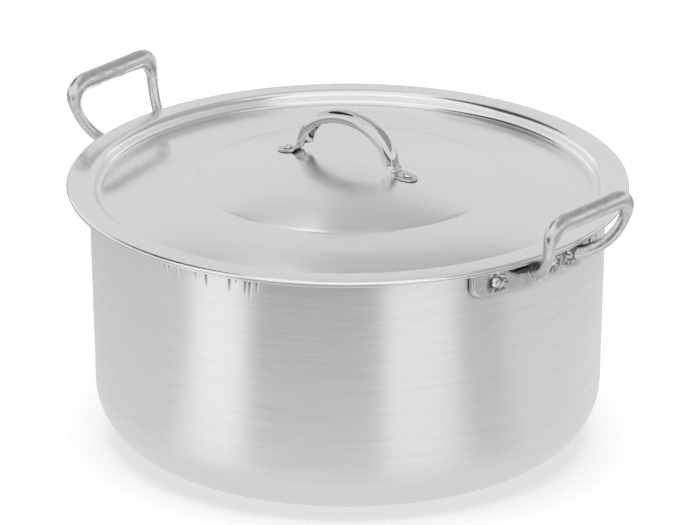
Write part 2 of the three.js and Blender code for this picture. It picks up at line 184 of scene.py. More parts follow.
def smoothstep(value, low, high):
    share = min(max((value - low) / (high - low), 0.0), 1.0)
    return share * share * (3 - 2 * share)


def arc(centre, radius, start, end, steps):
    """Points on an arc in the (radius, height) plane, with angles in radians."""
    turns = [lerp(start, end, k / steps) for k in range(steps + 1)]
    return [(centre[0] + radius * math.cos(t), centre[1] + radius * math.sin(t)) for t in turns]


def bow(start, control, end, steps):
    """Points on a curve from start to end that bends towards control, closest together at its ends."""
    points = []
    for k in range(steps + 1):
        t = (1 - math.cos(math.pi * k / steps)) / 2
        first = [lerp(a, b, t) for a, b in zip(start, control)]
        second = [lerp(a, b, t) for a, b in zip(control, end)]
        points.append(tuple(lerp(a, b, t) for a, b in zip(first, second)))
    return points


def straight(start, end, steps):
    return [tuple(lerp(a, b, k / steps) for a, b in zip(start, end)) for k in range(steps + 1)]


def join(*runs):
    """One list of points from runs that follow each other, with no point twice."""
    points = []
    for run in runs:
        for point in run:
            if not points or math.dist(points[-1], point) > 1e-7:
                points.append(point)
    return points


def mesh_object(name, points, faces, sharp_angle=SHARP_ANGLE):
    mesh = bpy.data.meshes.new(name)
    mesh.from_pydata([tuple(p) for p in points], [], faces)
    mesh.validate()
    mesh.shade_smooth()
    mesh.set_sharp_from_angle(angle=sharp_angle)
    piece = bpy.data.objects.new(name, mesh)
    scene.collection.objects.link(piece)
    return piece


def even_turns(steps):
    return [2 * math.pi * k / steps for k in range(steps)]


def revolve(profile, turns):
    """Points and faces of a profile turned about Z, where the profile starts and ends on the axis."""
    inner = profile[1:-1]
    points = [Vector((0, 0, profile[0][1])), Vector((0, 0, profile[-1][1]))]
    for turn in turns:
        points += [Vector((r * math.cos(turn), r * math.sin(turn), z)) for r, z in inner]
    count = len(inner)
    faces = []
    for k in range(len(turns)):
        here = 2 + k * count
        there = 2 + (k + 1) % len(turns) * count
        faces.append((0, there, here))
        faces += [(here + i, there + i, there + i + 1, here + i + 1) for i in range(count - 1)]
        faces.append((1, here + count - 1, there + count - 1))
    return points, faces


def loft(rings):
    """Points and faces of a closed skin through equal rings of points."""
    count = len(rings[0])
    points = [p for ring in rings for p in ring]
    faces = [tuple(range(count))[::-1]]
    for start in range(0, (len(rings) - 1) * count, count):
        for k in range(count):
            next_k = (k + 1) % count
            faces.append((start + k, start + next_k, start + count + next_k, start + count + k))
    last = (len(rings) - 1) * count
    faces.append(tuple(range(last, last + count)))
    return points, faces


def wall_radius(z):
    """Outside radius of the leaning wall at a height."""
    return POT_RADIUS - math.tan(WALL_LEAN) * (WALL_TOP - z)


def corner_centre(thickness, floor, radius):
    """The middle of the arc that runs from a level floor into the leaning wall."""
    height = floor + radius - radius * math.sin(WALL_LEAN)
    return (wall_radius(height) - thickness - radius * math.cos(WALL_LEAN), floor + radius)


def pot_profile():
    quarter = math.pi / 2
    inner_radius = BASE_CORNER_RADIUS - WALL_THICKNESS
    outer_corner = corner_centre(0, 0, BASE_CORNER_RADIUS)
    inner_corner = corner_centre(WALL_THICKNESS, BASE_THICKNESS, inner_radius)
    bend = (POT_RADIUS + RIM_BEND_RADIUS, WALL_TOP)
    edge_radius = WALL_THICKNESS / 2
    edge = (RIM_RADIUS - edge_radius, POT_HEIGHT - edge_radius)
    outer_wall = arc(outer_corner, BASE_CORNER_RADIUS, -quarter, -WALL_LEAN, 20)
    rim_under = arc(bend, RIM_BEND_RADIUS, math.pi, quarter, 6)
    rim_edge = arc(edge, edge_radius, -quarter, quarter, 8)
    rim_top = arc(bend, RIM_BEND_RADIUS + WALL_THICKNESS, quarter, math.pi, 6)
    inner_wall = arc(inner_corner, inner_radius, -WALL_LEAN, -quarter, 20)
    pucker_end = WALL_TOP - PUCKER_LENGTH
    plain_top = (wall_radius(pucker_end), pucker_end)
    return join(
        straight((0, 0), outer_wall[0], 6),
        outer_wall,
        straight(outer_wall[-1], plain_top, 12),
        straight(plain_top, rim_under[0], 16),
        rim_under,
        rim_edge,
        rim_top,
        straight(rim_top[-1], inner_wall[0], 12),
        inner_wall,
        straight(inner_wall[-1], (0, BASE_THICKNESS), 6),
    )


def pucker_marks():
    """Angle, length and depth of each pucker."""
    draw = random.Random(PUCKER_SEED)
    marks = []
    for first, count in PUCKER_GROUPS:
        for k in range(count):
            angle = math.radians(first + PUCKER_SPACING * (k + draw.uniform(-0.25, 0.25)))
            share = draw.uniform(0.25, 1.0)
            marks.append((angle, PUCKER_LENGTH * share, PUCKER_DEPTH * math.sqrt(share)))
    return marks


def pucker_dent(marks, angle, z):
    """How far the puckers dent the outside of the wall: narrow wedges that point down from the rim."""
    dent = 0.0
    for mark_angle, length, depth in marks:
        down = max(WALL_TOP - z, 0) / length
        away = abs((angle - mark_angle + math.pi) % (2 * math.pi) - math.pi) * POT_RADIUS
        width = PUCKER_WIDTH * (1 - 0.6 * down)
        if down < 1 and away < 3 * width:
            dent += depth * (1 - down) * math.exp(-((away / width) ** 2))
    return dent * (1 - smoothstep(z, WALL_TOP, WALL_TOP + RIM_BEND_RADIUS))


def body_skin():
    """The pot turned about its axis, with finer steps where the puckers are."""
    marks = pucker_marks()
    fine = [PUCKER_WIDTH / POT_RADIUS * k / 3 for k in range(-6, 7)]
    turns = even_turns(TURN_STEPS) + [angle + step for angle, *_ in marks for step in fine]
    points, faces = revolve(pot_profile(), sorted(turn % (2 * math.pi) for turn in turns))
    dents = [0.0] * len(points)
    for i, point in enumerate(points):
        radius = math.hypot(point.x, point.y)
        outside = wall_radius(point.z) - WALL_THICKNESS / 2 < radius < POT_RADIUS + RIM_BEND_RADIUS
        if outside and point.z > WALL_TOP - PUCKER_LENGTH:
            dents[i] = pucker_dent(marks, math.atan2(point.y, point.x), point.z)
            share = 1 - dents[i] / radius
            point.x, point.y = point.x * share, point.y * share
    return points, faces, dents


def tangent_meet(start, start_slope, end, end_slope):
    x = (end[1] - start[1] + start_slope * start[0] - end_slope * end[0]) / (start_slope - end_slope)
    return (x, start[1] + start_slope * (x - start[0]))


def lid_middle_line():
    """From the lip over the flange, down the step, and over the two pillows to the middle of the lid."""
    quarter = math.pi / 2
    lip_line = RIM_RADIUS + LID_OVERHANG - LID_SHEET
    recess_radius = POT_RADIUS - WALL_THICKNESS - LID_FIT - LID_SHEET
    inner_bend = (recess_radius - LID_BEND_RADIUS, LID_RECESS + LID_BEND_RADIUS)
    step_run = math.tan(LID_STEP_LEAN) * (LID_STEP_DEPTH - 2 * LID_BEND_RADIUS)
    bend_spread = 2 * LID_BEND_RADIUS / math.cos(LID_STEP_LEAN)
    outer_bend = (inner_bend[0] + step_run + bend_spread, LID_FLANGE_TOP - LID_BEND_RADIUS)
    flange_start = (outer_bend[0], LID_FLANGE_TOP)
    flange_end = (lip_line - LID_LIP_RADIUS, LID_LIP_RADIUS)
    flange_crown = ((flange_start[0] + flange_end[0]) / 2, LID_FLANGE_TOP)
    outer_tilt = math.atan(LID_OUTER_SLOPE)
    recess = arc(inner_bend, LID_BEND_RADIUS, -LID_STEP_LEAN, -quarter - outer_tilt, 8)
    ring = (LID_RING_RADIUS, LID_RING_HEIGHT)
    pillow_crown = tangent_meet(recess[-1], -LID_OUTER_SLOPE, ring, -LID_RING_SLOPE)
    disc_crown = (LID_RING_RADIUS / 2, LID_CENTRE_HEIGHT)
    line = join(
        arc((flange_end[0], 0), LID_LIP_RADIUS, 0, quarter, 8),
        bow(flange_end, flange_crown, flange_start, 12),
        arc(outer_bend, LID_BEND_RADIUS, quarter, math.pi - LID_STEP_LEAN, 8),
        recess,
        bow(recess[-1], pillow_crown, ring, 36),
        bow(ring, disc_crown, (0, LID_CENTRE_HEIGHT), 36),
    )
    return [(r, z - LID_GROOVE_DEPTH * math.exp(-(((r - ring[0]) / LID_GROOVE_WIDTH) ** 2))) for r, z in line]


def lid_profile():
    """The sheet on both sides of the lid's middle line, from the axis round to the axis."""
    middle = lid_middle_line()
    upper, lower = [], []
    for i, (r, z) in enumerate(middle):
        before, after = middle[max(i - 1, 0)], middle[min(i + 1, len(middle) - 1)]
        length = math.dist(before, after)
        out = ((after[1] - before[1]) / length * LID_SHEET, (before[0] - after[0]) / length * LID_SHEET)
        if i == len(middle) - 1:
            out = (0, LID_SHEET)
        upper.append((r + out[0], z + out[1] + LID_BASE))
        lower.append((r - out[0], z - out[1] + LID_BASE))
    return lower[::-1] + upper


def lid_skin():
    """The lid turned about its axis, with slow waves that die out at the step and at the strap."""
    points, faces = revolve(lid_profile(), even_turns(TURN_STEPS))
    still = POT_RADIUS - WALL_THICKNESS - LID_STEP_DEPTH
    for point in points:
        radius = math.hypot(point.x, point.y)
        share = smoothstep(radius, still, LID_RING_RADIUS) * smoothstep(radius, STRAP_RIVET_PLACE, LID_RING_RADIUS)
        point.z += LID_WAVE_HEIGHT * share * noise.noise(LID_WAVE_SCALE * Vector((point.x, point.y, 0)))
    return points, faces


def disc_top(radius):
    """Height of the lid's upper face on the centre disc, in the lid's own frame."""
    return LID_CENTRE_HEIGHT - LID_DISC_RISE * (radius / LID_RING_RADIUS) ** 2 + LID_SHEET


STRAP_TILT = math.atan(2 * LID_DISC_RISE * STRAP_RIVET_PLACE / LID_RING_RADIUS**2)


def tab_top(x):
    """Height of the strap tab's upper face, which lies along the lid at the rivet."""
    seat = disc_top(STRAP_RIVET_PLACE) + SEAT_GAP + STRAP_THICKNESS
    return seat - math.tan(STRAP_TILT) * (x - STRAP_RIVET_PLACE)


def strap_bend():
    """The middle of the bend from the arch into the tab."""
    x = STRAP_FOOT + STRAP_BEND_RADIUS
    tangent_x = x - STRAP_BEND_RADIUS * math.sin(STRAP_TILT)
    return (x, tab_top(tangent_x) + STRAP_BEND_RADIUS * math.cos(STRAP_TILT))


def strap_half():
    """One half of the strap's outer face, from the crown of the arch to the round end of the tab."""
    bend = strap_bend()
    rise = disc_top(0) + STRAP_ARCH_HEIGHT - bend[1]
    turns = [math.pi / 2 * (1 - k / 36) for k in range(37)]
    arch = [(STRAP_FOOT * math.cos(t), bend[1] + rise * math.sin(t)) for t in turns]
    foot = arc(bend, STRAP_BEND_RADIUS, math.pi, 1.5 * math.pi - STRAP_TILT, 10)
    tab = straight(foot[-1], (STRAP_RIVET_PLACE, tab_top(STRAP_RIVET_PLACE)), 6)
    ends = [STRAP_RIVET_PLACE + STRAP_TAB_RADIUS * math.sin(math.pi / 2 * k / 12) for k in range(12)]
    return join(arch, foot, tab, [(x, tab_top(x)) for x in ends])


def squared(share):
    """Squares off an ellipse's sine or cosine."""
    return math.copysign(abs(share) ** STRAP_SQUARENESS, share)


def strap_section(here, along):
    """A bowed channel in the arch that flattens into the tab."""
    bend = strap_bend()
    offset = max(0, abs(here[0]) - STRAP_RIVET_PLACE)
    tab_half = math.sqrt(STRAP_TAB_RADIUS**2 - offset**2)
    in_tab = smoothstep(abs(here[0]), bend[0] - STRAP_BEND_RADIUS / 2, bend[0] + STRAP_BEND_RADIUS / 3)
    half = lerp(STRAP_WIDTH / 2, tab_half, in_tab)
    deep = smoothstep(here[1], bend[1] - STRAP_BEND_RADIUS / 4, bend[1] + STRAP_BEND_RADIUS)
    depth = lerp(STRAP_THICKNESS, STRAP_CHANNEL_DEPTH, deep)
    inner = max(half - STRAP_THICKNESS, half / 2)
    up = (-along[1], along[0])

    def at(sideways, rise):
        return Vector((here[0] + up[0] * rise, sideways, here[1] + up[1] * rise + LID_BASE))

    turns = [math.pi * (0.5 - k / 20) for k in range(21)]
    fan = [(squared(math.sin(t)), squared(math.cos(t))) for t in turns]
    outside = [at(half * aside, depth * (over - 1)) for aside, over in fan]
    inside = [at(inner * aside, (depth - STRAP_THICKNESS) * over - depth) for aside, over in fan[::-1]]
    return outside + inside


def path_directions(points):
    vectors = [Vector(p) for p in points]
    last = len(vectors) - 1
    return [(vectors[min(i + 1, last)] - vectors[max(i - 1, 0)]).normalized() for i in range(last + 1)]


def strap_skin():
    half = strap_half()
    path = [(-x, z) for x, z in half[:0:-1]] + half
    rings = [strap_section(here, along) for here, along in zip(path, path_directions(path))]
    return loft(rings)


def loop_stations():
    """Places along the loop: its middle, the way its outer face looks, and how it flares and swells."""
    rise = GRIP_HEIGHT - LOOP_ROOT
    root_radius = wall_radius(LOOP_ROOT) + STRIP_THICKNESS / 2
    reach = GRIP_RADIUS - root_radius
    leg_turn = math.acos(GRIP_CORNER_SIZE / rise)
    front = []
    for k in range(29):
        turn = leg_turn * k / 28
        front.append((lerp(LOOP_ROOT_HALF, GRIP_HALF, math.sin(turn)), GRIP_HEIGHT - rise * math.cos(turn)))
    grip_end = (GRIP_HALF - GRIP_CORNER_SIZE, GRIP_HEIGHT)
    front = join(front, bow(front[-1], (GRIP_HALF, GRIP_HEIGHT), grip_end, 16))
    front = join(front, straight(grip_end, (-grip_end[0], GRIP_HEIGHT), 24), [(-y, z) for y, z in front[::-1]])
    stations = []
    for y, z in front:
        lower = min((GRIP_HEIGHT - z) / rise, 1)
        outer = math.sqrt(1 - lower**2)
        middle = Vector((root_radius + reach * outer, y, z))
        normal = Vector((rise * outer, 0, -reach * lower)).normalized()
        flare = 1 - smoothstep(middle.x, root_radius, root_radius + ROOT_FLARE_LENGTH)
        swell = smoothstep(z, GRIP_HEIGHT - GRIP_SWELL_LENGTH, GRIP_HEIGHT - GRIP_SIZE[1] / 2)
        stations.append((middle, normal, flare, swell))
    return stations


def loop_skin():
    """The legs and the grip: a section with soft ridges, widest at the roots and again in the grip."""
    stations = loop_stations()
    directions = path_directions([middle for middle, *_ in stations])
    turns = even_turns(LOOP_STEPS)
    rings = []
    for (middle, normal, flare, swell), along in zip(stations, directions):
        deep, wide = (
            leg + (root - leg) * flare + (grip - leg) * swell
            for leg, root, grip in zip(LEG_SIZE, ROOT_SIZE, GRIP_SIZE)
        )
        across = along.cross(normal).normalized()
        out = across.cross(along).normalized()
        ring = []
        for turn in turns:
            c, s = (math.copysign(abs(v) ** (2 / SECTION_POWER), v) for v in (math.cos(turn), math.sin(turn)))
            ring.append(middle + out * deep * c + across * wide * s)
        rings.append(ring)
    return loft(rings)


def strip_edges(y):
    """Lowest and highest point of the strip's front outline at a distance from its middle."""
    y = abs(y)
    to_end = STRIP_HALF - y
    bottom, top = STRIP_BOTTOM, STRIP_TOP
    if to_end < STRIP_END_RADIUS:
        bottom += STRIP_END_RADIUS - math.sqrt(STRIP_END_RADIUS**2 - (STRIP_END_RADIUS - to_end) ** 2)
    soft = STRIP_END_RADIUS / 2
    if to_end < soft:
        top -= soft - math.sqrt(soft**2 - (soft - to_end) ** 2)
    if y > STRIP_NECK:
        top -= STRIP_NECK_DIP * (1 - smoothstep(y, STRIP_NECK, STRIP_LOBE))
    else:
        top -= lerp(STRIP_CENTRE_DIP, STRIP_NECK_DIP, smoothstep(y, 0, STRIP_NECK))
    return bottom, top


def roughness_left(point):
    """How much of the casting's rough skin is left: all of it next to the rivets and the roots."""
    if point.x > wall_radius(point.z) + 2 * STRIP_THICKNESS:
        return 0.0
    away = min(math.dist((point.y, point.z), place) for place in ROUGH_PLACES)
    return 1 - smoothstep(away, ROUGH_RADIUS, ROUGH_FADE_RADIUS)


def pocket_depth(y, z):
    """How deep the pocket round a rivet is at a place on the strip's face."""
    depth = 0
    for place in RIVET_PLACES:
        away = math.dist((y, z), place)
        depth = max(depth, 1 - smoothstep(away, RIVET_POCKET_FLAT * RIVET_POCKET_RADIUS, RIVET_POCKET_RADIUS))
    return depth * RIVET_POCKET_DEPTH


def strip_ring(y):
    """The strip's section: flat on the wall, round at its outer edges, and thicker where a leg grows out."""
    bottom, top = strip_edges(y)
    radius = min(STRIP_EDGE_RADIUS, (top - bottom) / 2.1)
    quarter = math.pi / 2
    mound = STRIP_MOUND * math.exp(-(((abs(y) - STRIP_MOUND_PLACE) / STRIP_MOUND_HALF) ** 2))
    thickness = STRIP_THICKNESS + mound
    shape = join(
        straight((0, top), (0, bottom), 12),
        arc((thickness - radius, bottom + radius), radius, -quarter, 0, 5),
        straight((thickness, bottom + radius), (thickness, top - radius), 20),
        arc((thickness - radius, top - radius), radius, 0, quarter, 5),
    )
    ring = []
    for away, z in shape:
        away -= pocket_depth(y, z) * smoothstep(away, STRIP_THICKNESS / 2, STRIP_THICKNESS)
        reach = wall_radius(z) + SEAT_GAP + away
        ring.append(Vector((math.sqrt(reach**2 - y**2), y, z)))
    return ring


def strip_skin():
    """The strip in sections that lie closest together at its ends."""
    shares = [math.sin(math.pi / 2 * (2 * k / STRIP_STEPS - 1)) for k in range(STRIP_STEPS + 1)]
    return loft([strip_ring((STRIP_HALF - STRIP_INSET) * share) for share in shares])


def merged(*skins):
    points, faces = [], []
    for skin_points, skin_faces in skins:
        faces += [tuple(i + len(points) for i in face) for face in skin_faces]
        points += skin_points
    return points, faces


def applied(piece):
    """Puts what the piece's modifiers make into its mesh."""
    graph = bpy.context.evaluated_depsgraph_get()
    mesh = bpy.data.meshes.new_from_object(piece.evaluated_get(graph))
    piece.modifiers.clear()
    piece.data = mesh


def loop_handle(name, turn):
    """One casting: the strip and the loop grown together, with soft fillets."""
    piece = mesh_object(name, *merged(strip_skin(), loop_skin()))
    remesh = piece.modifiers.new("grow_together", "REMESH")
    remesh.mode = "VOXEL"
    remesh.voxel_size = HANDLE_VOXEL
    remesh.use_smooth_shade = True
    soften = piece.modifiers.new("soften", "SMOOTH")
    soften.factor = HANDLE_SOFTEN_SHARE
    soften.iterations = HANDLE_SOFTEN_ROUNDS
    applied(piece)
    rough = piece.data.attributes.new("rough", "FLOAT", "POINT")
    rough.data.foreach_set("value", [roughness_left(vertex.co) for vertex in piece.data.vertices])
    piece.data.transform(Matrix.Rotation(turn, 4, "Z"))
    return piece


def rivet_skin(size, inner_seat, outer_seat):
    """A rivet along Z: a flat inner head, a shank and a domed outer head."""
    foot = inner_seat - size["inner_height"]
    top = outer_seat + size["height"]
    flat = RIVET_FLAT * size["inner"]
    profile = join(
        straight((0, foot), (flat, foot), 3),
        bow((flat, foot), (size["inner"], foot), (size["inner"], inner_seat), 8),
        straight((size["inner"], inner_seat), (size["shank"], inner_seat), 2),
        straight((size["shank"], inner_seat), (size["shank"], outer_seat), 2),
        straight((size["shank"], outer_seat), (size["head"], outer_seat), 2),
        bow((size["head"], outer_seat), (size["head"], top), (0, top), 12),
    )
    return revolve(profile, even_turns(RIVET_STEPS))


def starred(skin, size, top):
    """The rivet's skin with the star-shaped hollow that peening left in its head."""
    points, faces = skin
    for point in points:
        radius = math.hypot(point.x, point.y)
        reach = size["head"] * (STAR_REACH + STAR_SWING * math.cos(STAR_POINTS * math.atan2(point.y, point.x)))
        if point.z > top - size["height"] / 2:
            point.z -= STAR_DEPTH * (1 - smoothstep(radius, STAR_FLOOR * reach, reach))
    return points, faces


def handle_rivet(name, turn, height):
    inner_seat = wall_radius(height) - WALL_THICKNESS - SEAT_GAP
    outer_seat = wall_radius(height) + STRIP_THICKNESS + 2 * SEAT_GAP - RIVET_POCKET_DEPTH
    piece = mesh_object(name, *rivet_skin(HANDLE_RIVET, inner_seat, outer_seat))
    outwards = Matrix.Rotation(turn, 4, "Z") @ Matrix.Rotation(math.pi / 2, 4, "Y")
    piece.data.transform(Matrix.Translation((0, 0, height)) @ outwards)
    return piece


def lid_rivet(name, side):
    outer_seat = STRAP_THICKNESS + 2 * SEAT_GAP
    skin = rivet_skin(LID_RIVET, -2 * LID_SHEET - SEAT_GAP, outer_seat)
    piece = mesh_object(name, *starred(skin, LID_RIVET, outer_seat + LID_RIVET["height"]))
    seat = Vector((side * STRAP_RIVET_PLACE, 0, disc_top(STRAP_RIVET_PLACE) + LID_BASE))
    upright = Matrix.Translation(seat) @ Matrix.Rotation(side * STRAP_TILT, 4, "Y")
    piece.data.transform(Matrix.Rotation(LID_TURN, 4, "Z") @ upright)
    return piece


class Graph:
    """A short way to add shader nodes, where an input is a plain value or another node's output."""

    def __init__(self, tree):
        self.tree = tree
        self.tree.nodes.clear()

    def add(self, kind, inputs=None, **settings):
        node = self.tree.nodes.new("ShaderNode" + kind)
        for key, value in settings.items():
            setattr(node, key, value)
        for socket, value in (inputs or {}).items():
            if isinstance(value, bpy.types.NodeSocket):
                self.tree.links.new(value, node.inputs[socket])
            else:
                node.inputs[socket].default_value = value
        return node

    def math(self, operation, *values):
        return self.add("Math", dict(enumerate(values)), operation=operation).outputs[0]

    def remap(self, value, low, high, to_low=0.0, to_high=1.0):
        inputs = {"Value": value, "From Min": low, "From Max": high, "To Min": to_low, "To Max": to_high}
        return self.add("MapRange", inputs, interpolation_type="SMOOTHSTEP").outputs["Result"]

    def noise(self, vector, scale, detail=2.0):
        inputs = {"Vector": vector, "Scale": scale, "Detail": detail}
        return self.add("TexNoise", inputs).outputs[0]

    def mix(self, share, first, second):
        """A value between two others."""
        return self.math("ADD", first, self.math("MULTIPLY", share, self.math("SUBTRACT", second, first)))

    def painted_crevice_shade(self, reach, darkest):
        """Painted shade from ambient occlusion: 1 on open faces, down to the darkest share in crevices."""
        open_share = self.add("AmbientOcclusion", {"Distance": reach}, samples=8).outputs["AO"]
        return self.remap(open_share, 0.4, 0.92, darkest, 1.0)

    def grey(self, level):
        """Aluminium's faintly blue grey at a level of brightness."""
        parts = {0: level, 1: self.math("MULTIPLY", level, 1.003), 2: self.math("MULTIPLY", level, 1.008)}
        return self.add("CombineColor", parts).outputs[0]


def new_graph(name):
    material = bpy.data.materials.new(name)
    material.use_nodes = True
    return material, Graph(material.node_tree)


def finish_metal(graph, inputs):
    shader = graph.add("BsdfPrincipled", {"Metallic": 1.0, **inputs})
    graph.add("OutputMaterial", {"Surface": shader.outputs["BSDF"]})


def spun_aluminium():
    """Aluminium turned on a lathe: fine rings all round, deeper on the wall than on the lid."""
    material, g = new_graph("spun_aluminium")
    place = g.add("TexCoord").outputs["Object"]
    x, y, z = g.add("SeparateXYZ", {0: place}).outputs
    squares = g.math("ADD", g.math("MULTIPLY", x, x), g.math("MULTIPLY", y, y))
    radius = g.math("MAXIMUM", g.math("SQRT", squares), 0.001)
    cosine, sine = g.math("DIVIDE", x, radius), g.math("DIVIDE", y, radius)
    facing = g.add("SeparateXYZ", {0: g.add("NewGeometry").outputs["Normal"]}).outputs
    wall = g.remap(g.math("ABSOLUTE", facing[2]), 0.5, 0.25)
    outward = g.math("ADD", g.math("MULTIPLY", cosine, facing[0]), g.math("MULTIPLY", sine, facing[1]))
    # Outward faces, the only ones that get the painted crevice shade
    outside = g.remap(outward, 0.6, 0.9)

    def rings(spacing, around):
        parts = {
            0: g.math("DIVIDE", radius, spacing),
            1: g.math("MULTIPLY", cosine, around),
            2: g.math("MULTIPLY", sine, around),
        }
        inputs = {
            "Vector": g.add("CombineXYZ", parts).outputs[0],
            "W": g.math("DIVIDE", z, spacing),
            "Scale": 1.0,
            "Detail": 3.0,
        }
        return g.add("TexNoise", inputs, noise_dimensions="4D").outputs[0]

    tone = g.mix(0.35, rings(0.0006, 5.0), rings(0.0035, 2.5))
    tone = g.remap(tone, 0.3, 0.7)
    depth = g.mix(wall, 0.2, 1.0)
    bump = g.add("Bump", {"Strength": 0.1, "Distance": 0.0002, "Height": g.math("MULTIPLY", tone, depth)})
    streaks = g.math("MULTIPLY", g.math("SUBTRACT", tone, 0.5), g.math("MULTIPLY", depth, 0.08))
    level = g.math("ADD", 0.86, streaks)
    # Tarnish and painted shade in the puckers: down to 0.4 of the level, by each dent's depth
    pucker_shade_and_tarnish = g.add("Attribute", attribute_name="pucker_shade_and_tarnish").outputs["Fac"]
    level = g.math("MULTIPLY", level, g.remap(pucker_shade_and_tarnish, 0.0, 0.8, 1.0, 0.4))
    finish_metal(g, {
        # Painted shade: darker under the rim and round the handle strips and rivets, on outward faces only
        "Base Color": g.grey(g.math("MULTIPLY", level, g.mix(outside, 1.0, g.painted_crevice_shade(0.009, 0.25)))),
        "Roughness": g.math("ADD", g.mix(wall, 0.155, 0.36), g.math("MULTIPLY", tone, 0.04)),
        "Anisotropic": 0.85,
        "Anisotropic Rotation": 0.25,
        "Tangent": g.add("Tangent", direction_type="RADIAL", axis="Z").outputs[0],
        "Normal": bump.outputs[0],
    })
    return material


def cast_aluminium():
    """Cast aluminium, tumbled bright, with a fine pitted skin that is rougher in patches and round the rivets."""
    material, g = new_graph("cast_aluminium")
    place = g.add("TexCoord").outputs["Object"]
    patches = g.remap(g.noise(place, 90.0), 0.46, 0.64)
    pits = g.noise(place, 1400.0, 3.0)
    rough = g.add("Attribute", attribute_name="rough").outputs["Fac"]
    holes = g.math("MULTIPLY", rough, g.remap(g.noise(place, 420.0, 1.0), 0.53, 0.43))
    height = g.math("SUBTRACT", g.math("MULTIPLY", pits, g.mix(patches, 0.3, 0.8)), holes)
    bump = g.add("Bump", {"Strength": 0.6, "Distance": 0.0004, "Height": height})
    stipple = g.math("MULTIPLY", patches, g.remap(pits, 0.5, 0.3, 0.0, 0.22))
    level = g.math("SUBTRACT", g.mix(pits, 0.58, 0.74), stipple)
    level = g.math("MULTIPLY", level, g.mix(holes, 1.0, 0.3))
    finish_metal(g, {
        # Painted shade in crevices: darker at the leg roots, round the rivets and along the strip's edges
        "Base Color": g.grey(g.math("MULTIPLY", level, g.painted_crevice_shade(0.005, 0.2))),
        "Roughness": g.mix(patches, 0.22, 0.36),
        "Normal": bump.outputs[0],
    })
    return material


def polished_steel():
    material, g = new_graph("polished_steel")
    scuffs = g.noise(g.add("TexCoord").outputs["Object"], 260.0, 4.0)
    bump = g.add("Bump", {"Strength": 0.04, "Distance": 0.0003, "Height": scuffs})
    finish_metal(g, {
        # Painted shade, faint, in the strap's channel and at its feet
        "Base Color": g.grey(g.math("MULTIPLY", g.mix(scuffs, 0.6, 0.68), g.painted_crevice_shade(0.003, 0.6))),
        "Roughness": g.mix(scuffs, 0.03, 0.08),
        "Normal": bump.outputs[0],
    })
    return material


def rivet_metal():
    material, g = new_graph("rivet_aluminium")
    dents = g.noise(g.add("TexCoord").outputs["Object"], 500.0)
    bump = g.add("Bump", {"Strength": 0.3, "Distance": 0.0004, "Height": dents})
    finish_metal(g, {
        "Base Color": g.grey(g.mix(dents, 0.74, 0.86)),
        "Roughness": g.mix(dents, 0.12, 0.28),
        "Normal": bump.outputs[0],
    })
    return material


def dress(piece, body, node, material):
    piece.data.materials.clear()
    piece.data.materials.append(material)
    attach(piece, body)
    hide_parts(node)


def make_pot():
    spun, cast, rivets = spun_aluminium(), cast_aluminium(), rivet_metal()
    points, faces, dents = body_skin()
    body = mesh_object("body_shell", points, faces)
    # Pucker depth, which darkens the dents with tarnish and painted shade
    pucker_shade_and_tarnish = body.data.attributes.new("pucker_shade_and_tarnish", "FLOAT", "POINT")
    pucker_shade_and_tarnish.data.foreach_set("value", [dent / PUCKER_DEPTH for dent in dents])
    dress(body, "pot", "pot_body", spun)
    foot_angle = math.asin(FOOT_RIVET_HALF / (wall_radius(FOOT_RIVET_HEIGHT) + STRIP_THICKNESS / 2))
    for side, turn, facing in (("right", 0.0, 1), ("left", math.pi, -1)):
        handle = loop_handle(f"loop_handle_{side}", turn)
        dress(handle, "pot", f"side_handle_{side}", cast)
        for place, angle, height in (("front", -foot_angle * facing, FOOT_RIVET_HEIGHT),
                                     ("middle", 0.0, MIDDLE_RIVET_HEIGHT),
                                     ("rear", foot_angle * facing, FOOT_RIVET_HEIGHT)):
            rivet = handle_rivet(f"loop_rivet_{side}_{place}", turn + angle, height)
            dress(rivet, "pot", f"side_handle_{side}_rivet_{place}", rivets)
    shell = mesh_object("lid_shell", *lid_skin())
    dress(shell, "lid", "lid", spun)
    strap = mesh_object("lid_strap", *strap_skin())
    strap.data.transform(Matrix.Rotation(LID_TURN, 4, "Z"))
    dress(strap, "lid", "lid_handle", polished_steel())
    for place, side in (("right", 1), ("left", -1)):
        rivet = lid_rivet(f"lid_rivet_{place}", side)
        dress(rivet, "lid", f"lid_handle_rivet_{place}", rivets)


def view_axes():
    """The camera's backward and rightward directions."""
    level = math.cos(CAMERA_ELEVATION)
    sine, cosine = math.sin(CAMERA_AZIMUTH), math.cos(CAMERA_AZIMUTH)
    back = Vector((sine * level, -cosine * level, math.sin(CAMERA_ELEVATION)))
    right = Vector((cosine, sine, 0))
    return back, right


FLOOR_HALF = 40.0
FLOOR_DROP = 0.0002
FLOOR_GLOW = 0.5
WORLD_LIGHT = 0.6
LAMP_SIZE = 2.4
LAMP_POWER = 75.0
LAMP_HEIGHT = 2.6


def make_camera():
    back, right = view_axes()
    data = bpy.data.cameras.new("camera")
    data.lens = CAMERA_LENS
    camera = bpy.data.objects.new("camera", data)
    camera.location = Vector((0, 0, AIM_HEIGHT)) + right * AIM_RIGHT + back * CAMERA_DISTANCE
    camera.rotation_euler = back.to_track_quat("Z", "Y").to_euler()
    scene.collection.objects.link(camera)
    scene.camera = camera


def seen_directly(graph):
    """1 for rays that show the background itself: from the camera, off metal or through glass."""
    rays = graph.add("LightPath").outputs
    seen = graph.math("MAXIMUM", rays["Is Camera Ray"], rays["Is Glossy Ray"])
    return graph.math("MAXIMUM", seen, rays["Is Transmission Ray"])


def make_world():
    world = bpy.data.worlds.new("studio")
    world.use_nodes = True
    g = Graph(world.node_tree)
    seen = seen_directly(g)
    plain = g.add("Background", {"Color": (1, 1, 1, 1), "Strength": WORLD_LIGHT})
    white = g.add("Background", {"Color": (1, 1, 1, 1), "Strength": 1.0})
    mix = g.add("MixShader", {0: seen, 1: plain.outputs[0], 2: white.outputs[0]})
    g.add("OutputWorld", {"Surface": mix.outputs[0]})
    scene.world = world


